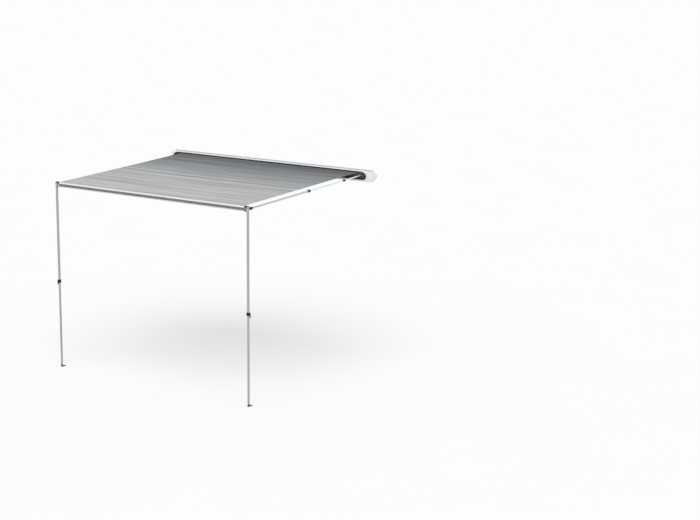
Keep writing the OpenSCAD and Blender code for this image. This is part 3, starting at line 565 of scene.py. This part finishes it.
def coated_sheet(name, rgb, roughness):
    """Coated PVC sheet: satin, with a faint pressed grain and the soft creases of a sheet that is folded often."""
    made, add = fresh(name)
    place = add("TexCoord", read="Object")
    # Creases run mostly along the bag, 60 mm apart; the pressed grain is 1 mm, drawn at 5 mm so that it shows
    long = add("Mapping", {"Vector": place, "Scale": (0.3, 1.0, 1.0)})
    crease = add("TexNoise", {"Vector": long, "Scale": grains(60 * MM), "Detail": 3.0, "Distortion": 0.6})
    grain = add("TexNoise", {"Vector": place, "Scale": grains(5 * MM), "Detail": 1.0})
    tone = add("ValToRGB", {"Fac": crease}, stops=[(0.3, shade_of(rgb, 0.93)), (0.7, rgb)])
    gloss = add("MapRange", {"Value": crease, "To Min": roughness - 0.06, "To Max": roughness + 0.08})
    height = add("Math", {0: grain, 1: 0.08, 2: crease}, operation="MULTIPLY_ADD")
    bump = add("Bump", {"Strength": 0.35, "Distance": 2 * MM, "Height": height})
    shader = add("BsdfPrincipled", {"Base Color": tone, "Roughness": gloss, "IOR": 1.53, "Normal": bump})
    add("OutputMaterial", {"Surface": shader})
    return made


def woven_tape(name, rgb, turned=0.0):
    """Woven polyester tape: matt, with a twill whose ribs slant across it."""
    made, add = fresh(name)
    place = add("TexCoord", read="Object")
    slant = add("Mapping", {"Vector": place, "Rotation": (0.0, turned, 0.0)})
    # Twill ribs are 0.8 mm apart, drawn at 3 mm so that they show
    twill = add("TexWave", {"Vector": slant, "Scale": bands(3 * MM), "Distortion": 0.4}, read="Fac")
    tone = add("ValToRGB", {"Fac": twill}, stops=[(0.2, shade_of(rgb, 0.86)), (0.8, shade_of(rgb, 1.1))])
    bump = add("Bump", {"Strength": 0.4, "Distance": 0.3 * MM, "Height": twill})
    shader = add("BsdfPrincipled", {"Base Color": tone, "Roughness": 0.85, "IOR": 1.5, "Normal": bump})
    add("OutputMaterial", {"Surface": shader})
    return made


def anodised_aluminium(name, rgb, stretch, turned=0.0, painted_shade_y=None):
    """Extruded, satin anodised aluminium: soft reflections with fine die lines that run along the piece.

    The last argument is the place along Y of a channel's floor; there the metal is painted darker, easing back to its
    own colour 3 mm further along, as painted shade for the deep channel."""
    made, add = fresh(name)
    place = add("TexCoord", read="Object")
    drawn = add("Mapping", {"Vector": place, "Rotation": (turned, 0.0, 0.0), "Scale": stretch})
    # Die lines are tenths of a millimetre wide, drawn at 2.5 mm so that they show
    lines = add("TexNoise", {"Vector": drawn, "Scale": grains(2.5 * MM), "Detail": 3.0})
    cloud = add("TexNoise", {"Vector": place, "Scale": grains(90 * MM), "Detail": 2.0})
    tone = add("ValToRGB", {"Fac": lines}, stops=[(0.3, shade_of(rgb, 0.9)), (0.7, shade_of(rgb, 1.05))])
    if painted_shade_y is not None:
        # Painted shade in the channel: the colour falls to 0.34 of itself at the channel's floor
        inward = add("SeparateXYZ", {"Vector": place}, read="Y")
        level = add("MapRange", {"Value": inward, "From Min": painted_shade_y, "From Max": painted_shade_y + 3 * MM,
                                 "To Min": 0.34, "To Max": 1.0})
        tone = add("VectorMath", {0: tone, 1: level}, operation="MULTIPLY")
    gloss = add("MapRange", {"Value": cloud, "To Min": 0.3, "To Max": 0.46})
    bump = add("Bump", {"Strength": 0.12, "Distance": 0.1 * MM, "Height": lines})
    shader = add("BsdfPrincipled", {"Base Color": tone, "Metallic": 0.85, "Roughness": gloss, "Normal": bump})
    add("OutputMaterial", {"Surface": shader})
    return made


def zinc_plated_steel(rgb):
    """Zinc plated steel: bright, with the cloudy spangle of its passivation."""
    made, add = fresh("Zinc plated steel")
    place = add("TexCoord", read="Object")
    # Spangle patches are 1 to 2 mm
    spangle = add("TexVoronoi", {"Vector": place, "Scale": grains(1.5 * MM)})
    tone = add("ValToRGB", {"Fac": spangle}, stops=[(0.1, shade_of(rgb, 0.85)), (0.7, rgb)])
    gloss = add("MapRange", {"Value": spangle, "To Min": 0.24, "To Max": 0.4})
    shader = add("BsdfPrincipled", {"Base Color": tone, "Metallic": 1.0, "Roughness": gloss})
    add("OutputMaterial", {"Surface": shader})
    return made


def moulding(name, rgb, grit, roughness, ior, shine=0.5):
    """Moulded plastic or rubber: an eroded tool leaves a fine even grit, and handling leaves it patchy."""
    made, add = fresh(name)
    place = add("TexCoord", read="Object")
    speck = add("TexNoise", {"Vector": place, "Scale": grains(grit), "Detail": 2.0})
    patch = add("TexNoise", {"Vector": place, "Scale": grains(25 * MM), "Detail": 3.0})
    tone = add("ValToRGB", {"Fac": patch}, stops=[(0.35, shade_of(rgb, 0.85)), (0.7, shade_of(rgb, 1.2))])
    gloss = add("MapRange", {"Value": patch, "To Min": roughness - 0.1, "To Max": roughness + 0.1})
    bump = add("Bump", {"Strength": 0.3, "Distance": 0.15 * MM, "Height": speck})
    shader = add("BsdfPrincipled", {"Base Color": tone, "Roughness": gloss, "IOR": ior,
                                    "Specular IOR Level": shine, "Normal": bump})
    add("OutputMaterial", {"Surface": shader})
    return made


def dress(made, *finishes):
    """Puts finishes into an object's material slots, in order."""
    made.data.materials.clear()
    for finish in finishes:
        made.data.materials.append(finish)


def dress_nodes(*groups):
    """Gives each group's finish to its sub-parts; a name with no node of its own is there on the right and left."""
    for finish, *names in groups:
        for name in names:
            for each in [name] if name in NODES else [name + "_right", name + "_left"]:
                dress(NODES[each], finish)


# Operators

class AWNING_OT_canopy(bpy.types.Operator):
    """Stretched canopy with bound side edges and its stitching"""
    bl_idname = "awning.canopy"
    bl_label = "Canopy"

    # Rows down to the roller and round it, and columns across
    SPAN_ROWS, WRAP_ROWS, COLUMNS = 90, 7, 97
    # Places along the canopy of the binding, which ends short of the roller's face, of its stitches and of the hem's
    BINDING_FROM, BINDING_TO = 20 * MM, TANGENT - 12 * MM
    SEAM_FROM, SEAM_TO, HEM_AT = 30 * MM, TANGENT - 20 * MM, TANGENT - 26 * MM
    # How far the binding's stitches are from its edges
    SEAM_INSET = 4 * MM

    def execute(self, context):
        sizes, colours = context.scene.awning_sizes, context.scene.awning_colours
        along = np.concatenate([np.linspace(0, TANGENT, self.SPAN_ROWS),
                                np.linspace(TANGENT, CANOPY_L, self.WRAP_ROWS)[1:]])
        across = np.linspace(-CANOPY_W / 2, CANOPY_W / 2, self.COLUMNS)
        canopy = surface("canopy", canopy_at(across[:, None], along, 0.0, sizes)[::-1], plan(across, along)[::-1])
        thicken(canopy, CANOPY_T, offset=0)
        trims = [self.binding(side, along, sizes) for side in (1, -1)]
        cloth = coated_canopy_cloth(colours)
        for piece in [canopy, *trims]:
            dress(piece, cloth)
        trims.append(self.stitching(sizes))
        dress(trims[-1], woven_tape("Sewing thread", colours.canopy_middle))
        # The canopy and its trims are baked to their places in the world
        for piece in [canopy, *trims]:
            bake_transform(piece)
        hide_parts("canopy_fabric")
        return {"FINISHED"}

    def binding(self, side, along, sizes):
        """Canopy cloth folded over a side edge: its section is a thin flat U round the edge, carried along it.

        The end rows are drawn in to the U's own middle line, which closes them."""
        clear, flat_steps, fold_steps = 0.1 * MM, 6, 7
        near, far = CANOPY_T / 2 + clear, CANOPY_T / 2 + sizes.binding_t
        wide = np.linspace(sizes.binding, 0, flat_steps)
        fold = np.linspace(math.pi / 2, -math.pi / 2, fold_steps)[1:-1]
        inset = np.concatenate([wide, -far * np.cos(fold), wide[::-1], wide, -near * np.cos(fold[::-1]), wide[::-1]])
        level = np.ones(flat_steps)
        lift = np.concatenate([far * level, far * np.sin(fold), -far * level,
                               -near * level, near * np.sin(fold[::-1]), near * level])
        run = along[(along > self.BINDING_FROM) & (along < self.BINDING_TO)]
        run = np.concatenate([run[:1], run, run[-1:]])
        section = np.stack([inset, lift], 1)
        rows = np.tile(section, (len(run), 1, 1))
        rows[[0, -1]] = np.minimum((section + section[::-1]) / 2, sizes.binding - CAP)
        across = side * (CANOPY_W / 2 - rows[..., 0])
        points = canopy_at(across, run[:, None], rows[..., 1], sizes)
        uv = plan(run, walked(np.append(section, section[:1], 0)))[..., ::-1]
        name = "canopy_binding_right" if side > 0 else "canopy_binding_left"
        return close(surface(name, points if side > 0 else points[:, ::-1], uv, around=True))

    def stitching(self, sizes):
        """Stitches in two rows on each binding and one row along the front hem, lying on the canopy."""
        raised = CANOPY_T / 2 + sizes.binding_t
        run = np.arange(self.SEAM_FROM, self.SEAM_TO, sizes.stitch_pitch)
        insets = np.array([self.SEAM_INSET, sizes.binding - self.SEAM_INSET])
        rows = np.concatenate([CANOPY_W / 2 - insets, insets - CANOPY_W / 2])
        bound = canopy_at(rows[:, None], run, raised, sizes).reshape(-1, 3)
        across = np.arange(sizes.binding - CANOPY_W / 2, CANOPY_W / 2 - sizes.binding, sizes.stitch_pitch)
        hem = canopy_at(across, np.full(len(across), self.HEM_AT), CANOPY_T / 2, sizes)
        along = np.concatenate([np.tile(DOWN, (len(bound), 1)), np.tile(ACROSS, (len(hem), 1))])
        return stitches("canopy_stitching", np.concatenate([bound, hem]), along, UP, sizes)


class AWNING_OT_bag(bpy.types.Operator):
    """Sheet bag with its lining, piping and stitching"""
    bl_idname = "awning.bag"
    bl_label = "Bag"

    # The piping and the stitches follow columns of the bag's own surface, counted from the upper or the lower lip
    PIPING = {"bag_piping_upper": (FRONT_COLUMNS + 7, (0.0, 0.0, 1.0)),
              "bag_piping_lower": (-FRONT_COLUMNS - 3, (0.0, -0.7, -0.7))}
    PIPING_PROUD = 1 * MM
    SEAMS = (FRONT_COLUMNS + 10, -FRONT_COLUMNS + 3)

    def execute(self, context):
        sizes, colours = context.scene.awning_sizes, context.scene.awning_colours
        x = bag_places()
        points = bag_at(x, sizes)
        shell = capped(points)
        uv = plan(np.linspace(0, 2 * BAG_TIP, len(shell)), walked(points[len(x) // 2]))
        bag = close(surface("bag_shell", shell, uv))
        thicken(bag, sizes.bag_sheet, offset=-1, inner=1)
        sheet = coated_sheet("White coated sheet", colours.sheet, roughness=0.42)
        dress(bag, sheet, coated_sheet("Grey coated lining", colours.lining, roughness=0.6))
        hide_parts("bag_back", "bag_top", "bag_floor", "bag_end_right", "bag_end_left")

        pipings = []
        for name, (column, out) in self.PIPING.items():
            pipings.append(tube(name, points[:, column] + np.array(out) * self.PIPING_PROUD, sizes.piping / 2))
            dress(pipings[-1], sheet)
        sewn = self.stitching(points, sizes)
        dress(sewn, woven_tape("Bag thread", shade_of(colours.sheet, 0.8)))
        for piece in [bag, *pipings, sewn]:
            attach(piece, "bag")
        return {"FINISHED"}

    def stitching(self, points, sizes):
        """Stitches along the top behind the piping and along the lower lip, at an even pitch on columns of the bag's
        surface; out is the way along the bag crossed with the way round it."""
        centres, along, out = [], [], []
        for column in self.SEAMS:
            line = points[:, column]
            round_it = np.cross(headings(line), points[:, column + 1] - points[:, column - 1])
            centres.append(paced(line, sizes.stitch_pitch))
            along.append(unit(paced(line, sizes.stitch_pitch, headings(line))))
            out.append(unit(paced(line, sizes.stitch_pitch, unit(round_it))))
        return stitches("bag_stitching", *(np.concatenate(each) for each in (centres, along, out)), sizes)


class AWNING_OT_welt(bpy.types.Operator):
    """Welt of the bag: the bead for the wall rail, wrapped in the tape that the bag and canopy are sewn to"""
    bl_idname = "awning.welt"
    bl_label = "Welt"

    ROWS = 161
    # How far the stitches keep from the welt's ends, and the lowest row from its lower edge
    SEAM_END, SEAM_LOW = 10 * MM, 5 * MM

    def execute(self, context):
        sizes, colours = context.scene.awning_sizes, context.scene.awning_colours
        x = np.linspace(-BEAD_END, BEAD_END, self.ROWS)
        points = welt_at(x)
        girth = walked(points[self.ROWS // 2])
        uv = plan(np.concatenate([x[:1], x, x[-1:]]), np.append(girth, girth[-1] + WELT_T))
        welt = close(surface("rail_welt", points, uv, around=True))
        dress(welt, woven_tape("Woven welt tape", colours.bead_tape, turned=math.radians(45)))
        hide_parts("rail_bead", "bead_tape")
        # One row of stitches closes the tape under the bead, and one joins it to the bag's back
        run = np.arange(self.SEAM_END - BEAD_END, BEAD_END - self.SEAM_END, sizes.stitch_pitch)
        face, under = WELT_T / 2, -2 * BEAD_R
        rows = np.array([[-face, under], [face, under], [face, WELT_LOW + self.SEAM_LOW]])
        row, along = (each.ravel() for each in np.meshgrid(np.arange(len(rows)), run, indexing="ij"))
        centres = np.column_stack([along, rows[row]])
        sewn = stitches("welt_stitching", centres, ACROSS, np.array([0.0, 0.0, 1.0]), sizes)
        dress(sewn, woven_tape("Welt thread", shade_of(colours.bead_tape, 1.3)))
        for piece in (welt, sewn):
            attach(piece, "bag")
        return {"FINISHED"}


class AWNING_OT_zip(bpy.types.Operator):
    """Zip round the bag's mouth: one tape with moulded teeth, and the finish of its slider and pull"""
    bl_idname = "awning.zip"
    bl_label = "Zip"

    FACING_T, FACING_LIFT = 0.5 * MM, 0.15 * MM
    # A tooth's size along the tape, across it and through it, and how far its middle is from the tape's free edge
    TOOTH_SIZE, TOOTH_INSET = (3.2 * MM, 2.8 * MM, 1.9 * MM), 1.2 * MM

    def execute(self, context):
        sizes, colours = context.scene.awning_sizes, context.scene.awning_colours
        outline, inward, width = mouth_loop()
        offset = np.array([1.0, 0.0, 0.0, 1.0])
        depth = np.array([TAPE_FRONT, TAPE_FRONT, TAPE_BACK, TAPE_BACK])
        flat = outline[:, None] + inward[:, None] * (width[:, None] * offset)[..., None]
        points = np.stack(np.broadcast_arrays(flat[..., 0], depth, flat[..., 1]), 2)
        loop = np.append(outline, outline[:1], 0)
        girth = np.linspace(0, 2 * LOWER_TAPE, len(depth) + 1)
        tape = surface("zip_tape", points, plan(walked(loop), girth), around=True, ring=True, soft=False)
        black = woven_tape("Black zip tape", colours.zip_black, turned=math.radians(45))
        dress(tape, black)
        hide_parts("zip_tape_upper", "zip_tape_lower")
        cover = facing_at(sizes.facing, self.FACING_LIFT)
        uv = plan(walked(cover[:, 0]), np.linspace(0, sizes.facing, FACING_COLUMNS))
        facing = close(surface("zip_facing", cover, uv))
        thicken(facing, self.FACING_T, offset=1)
        dress(facing, black)

        # Teeth clamp the tape's free edge and stand 0.2 mm past it
        edge = outline + inward * (width - self.TOOTH_INSET)[:, None]
        line = np.stack([edge[:, 0], np.full(len(edge), (TAPE_FRONT + TAPE_BACK) / 2), edge[:, 1]], 1)
        centres = paced(np.append(line, line[:1], 0), sizes.tooth_pitch)
        along = headings(centres)
        out = np.cross(along, np.array([0.0, 1.0, 0.0]))
        teeth = repeated("zip_teeth", centres, along, out, self.TOOTH_SIZE, TOOTH, TOOTH_FACES)
        resin = moulding("Moulded zip resin", colours.zip_black, grit=1 * MM, roughness=0.38, ior=1.48)
        dress(teeth, resin)
        for piece in (tape, facing, teeth):
            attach(piece, "bag")
        dress_nodes((resin, "zip_slider", "zip_pull"))
        return {"FINISHED"}


class AWNING_OT_metalwork(bpy.types.Operator):
    """Finishes of the roller, the leg and rafter tubes, the yokes, the pins and the screws"""
    bl_idname = "awning.metalwork"
    bl_label = "Metalwork"

    def execute(self, context):
        colours = context.scene.awning_colours
        # Grains drawn out a hundredfold along a piece make its die lines
        long, fine = 0.01, 1.0
        rolled = anodised_aluminium("Anodised roller", colours.roller, (long, fine, fine))
        # The roller back's channel floor is painted darker, as painted shade in the channel
        channel = NODES["roller_back"].matrix_world.inverted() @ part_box("roller_back")[0]
        roller_back_painted_shade = anodised_aluminium("Anodised roller back with painted shade", colours.roller, (long, fine, fine), painted_shade_y=channel.y)
        upright = anodised_aluminium("Anodised leg tube", colours.leg, (fine, fine, long))
        sloped = anodised_aluminium("Anodised rafter tube", colours.rafter, (fine, long, fine), -SLOPE)
        slim = anodised_aluminium("Anodised slim rafter tube", colours.rafter_slim, (fine, long, fine), -SLOPE)
        steel = zinc_plated_steel(colours.steel)
        cord = moulding("Front bead cord", colours.canopy_front, grit=2 * MM, roughness=0.6, ior=1.5)
        dress_nodes((roller_back_painted_shade, "roller_back"), (rolled, "roller_upper", "roller_lower"), (cord, "front_bead"),
                    (upright, "leg_upper_tube", "leg_lower_tube", "leg_yoke"), (sloped, "rafter_outer"),
                    (slim, "rafter_middle", "rafter_inner"), (steel, "cap_screws", "rafter_pins", "leg_pin"))
        return {"FINISHED"}


class AWNING_OT_mouldings(bpy.types.Operator):
    """Finishes of the brackets, plugs, caps, clamps, collars, boots and feet"""
    bl_idname = "awning.mouldings"
    bl_label = "Mouldings"

    def execute(self, context):
        colours = context.scene.awning_colours
        # Tool grit is about 0.1 mm, drawn larger so that it shows
        grit = 1.2 * MM
        # Glass fibres at the surface break up most of the nylon's gloss
        nylon = moulding("Glass filled nylon", colours.nylon, grit=grit, roughness=0.55, ior=1.53, shine=0.2)
        abs_grey = moulding("Grey ABS", colours.grey, grit=grit, roughness=0.48, ior=1.54)
        polypropylene = moulding("Dark polypropylene", colours.foot, grit=grit, roughness=0.55, ior=1.49)
        rubber = moulding("Moulded rubber", colours.rubber, grit=2 * MM, roughness=0.8, ior=1.52)
        dress_nodes((nylon, "roller_cap", "bracket", "leg_clamp", "clamp_lever", "outer_collar", "middle_collar"),
                    (abs_grey, "roller_plug", "leg_head", "rafter_knuckle", "rafter_boot"),
                    (polypropylene, "leg_glide", "foot_tongue", "foot_plate"), (rubber, "foot_pad"))
        return {"FINISHED"}


class AWNING_OT_stage(bpy.types.Operator):
    """Pale floor, soft light and the camera"""
    bl_idname = "awning.stage"
    bl_label = "Stage"

    # The camera stands in front and to the right, above the canopy, with a long lens and a slight roll
    AZIMUTH, ELEVATION, ROLL = math.radians(33.648), math.radians(11.833), math.radians(0.527)
    STAND = (11.558, -15.571, 2.8)
    LENS = 81.3
    # The sun is broad and high, in front and a little to the right
    SUN_POWER, SUN_SPREAD = 1.6, math.radians(50)
    SUN_TURN = (math.radians(32), 0.0, math.radians(25))
    # Half the floor's side, how far it lies under the feet, and how far the camera sees
    FLOOR_REACH, FLOOR_DROP, SIGHT = 300.0, 0.5 * MM, 1000.0

    def execute(self, context):
        colours = context.scene.awning_colours
        context.scene.view_settings.view_transform = "Standard"
        corner = np.array([-self.FLOOR_REACH, self.FLOOR_REACH])
        flat = np.stack([*np.meshgrid(corner, corner, indexing="ij"), np.full((2, 2), GROUND - self.FLOOR_DROP)], 2)
        floor = surface("floor", flat, plan(corner, corner))
        dress(floor, self.pale_floor(colours.floor))
        self.soft_sky(context.scene)
        sun = bpy.data.objects.new("sun", bpy.data.lights.new("sun", "SUN"))
        sun.data.energy = self.SUN_POWER
        sun.data.angle = self.SUN_SPREAD
        sun.rotation_euler = self.SUN_TURN
        camera = bpy.data.objects.new("camera", bpy.data.cameras.new("camera"))
        camera.data.lens = self.LENS
        camera.data.clip_end = self.SIGHT
        camera.location = self.STAND
        camera.rotation_euler = (Matrix.Rotation(self.AZIMUTH, 3, "Z")
                                 @ Matrix.Rotation(math.pi / 2 - self.ELEVATION, 3, "X")
                                 @ Matrix.Rotation(self.ROLL, 3, "Z")).to_euler()
        for made in (sun, camera):
            context.scene.collection.objects.link(made)
        context.scene.camera = camera
        return {"FINISHED"}

    def pale_floor(self, rgb):
        """Matt painted floor: a share of what the camera sees of it is its own white, so shadows stay soft."""
        made, add = fresh("Pale matt floor")
        place = add("TexCoord", read="Object")
        cloud = add("TexNoise", {"Vector": place, "Scale": grains(1.2), "Detail": 2.0})
        tone = add("ValToRGB", {"Fac": cloud}, stops=[(0.3, shade_of(rgb, 0.99)), (0.7, rgb)])
        matt = add("BsdfDiffuse", {"Color": tone})
        white = add("Emission", {"Color": (1.0, 1.0, 1.0, 1.0), "Strength": 1.0})
        seen = add("LightPath", read="Is Camera Ray")
        part = add("Math", {0: seen, 1: 0.5}, operation="MULTIPLY")
        both = add("MixShader", {0: part, 1: matt, 2: white})
        add("OutputMaterial", {"Surface": both})
        return made

    def soft_sky(self, scene):
        """Even studio light: white where it is seen or mirrored, and softer where it lights."""
        scene.world, add = fresh("Soft studio", "worlds")
        path = add("LightPath").node.outputs
        seen = add("Math", {0: path["Is Camera Ray"], 1: path["Is Glossy Ray"]}, operation="MAXIMUM")
        shown = add("Math", {0: seen, 1: path["Is Transmission Ray"]}, operation="MAXIMUM")
        lit = add("Background", {"Color": (1.0, 1.0, 1.0, 1.0), "Strength": 0.55})
        white = add("Background", {"Color": (1.0, 1.0, 1.0, 1.0), "Strength": 1.0})
        both = add("MixShader", {0: shown, 1: lit, 2: white})
        add("OutputWorld", {"Surface": both})


class AWNING_PT_sidebar(bpy.types.Panel):
    """Sizes, colours and pieces of the awning"""
    bl_idname = "AWNING_PT_sidebar"
    bl_label = "Roll out awning"
    bl_space_type = "VIEW_3D"
    bl_region_type = "UI"
    bl_category = "Awning"

    def draw(self, context):
        for group in (context.scene.awning_sizes, context.scene.awning_colours):
            box = self.layout.box()
            for name in group.__annotations__:
                box.prop(group, name)
        for operator in OPERATORS:
            self.layout.operator(operator.bl_idname)


OPERATORS = (AWNING_OT_canopy, AWNING_OT_bag, AWNING_OT_welt, AWNING_OT_zip, AWNING_OT_metalwork,
             AWNING_OT_mouldings, AWNING_OT_stage)
CLASSES = (AwningSizes, AwningColours, *OPERATORS, AWNING_PT_sidebar)


def register():
    """Registers the classes and puts the sizes and colours on the scene."""
    for each in CLASSES:
        bpy.utils.register_class(each)
    bpy.types.Scene.awning_sizes = PointerProperty(type=AwningSizes)
    bpy.types.Scene.awning_colours = PointerProperty(type=AwningColours)


def unregister():
    """Takes the sizes and colours off the scene and unregisters the classes."""
    del bpy.types.Scene.awning_colours
    del bpy.types.Scene.awning_sizes
    for each in reversed(CLASSES):
        bpy.utils.unregister_class(each)


def main():
    register()
    bpy.ops.awning.canopy()
    bpy.ops.awning.bag()
    bpy.ops.awning.welt()
    bpy.ops.awning.zip()
    bpy.ops.awning.metalwork()
    bpy.ops.awning.mouldings()
    bpy.ops.awning.stage()


if __name__ == "__main__":
    main()
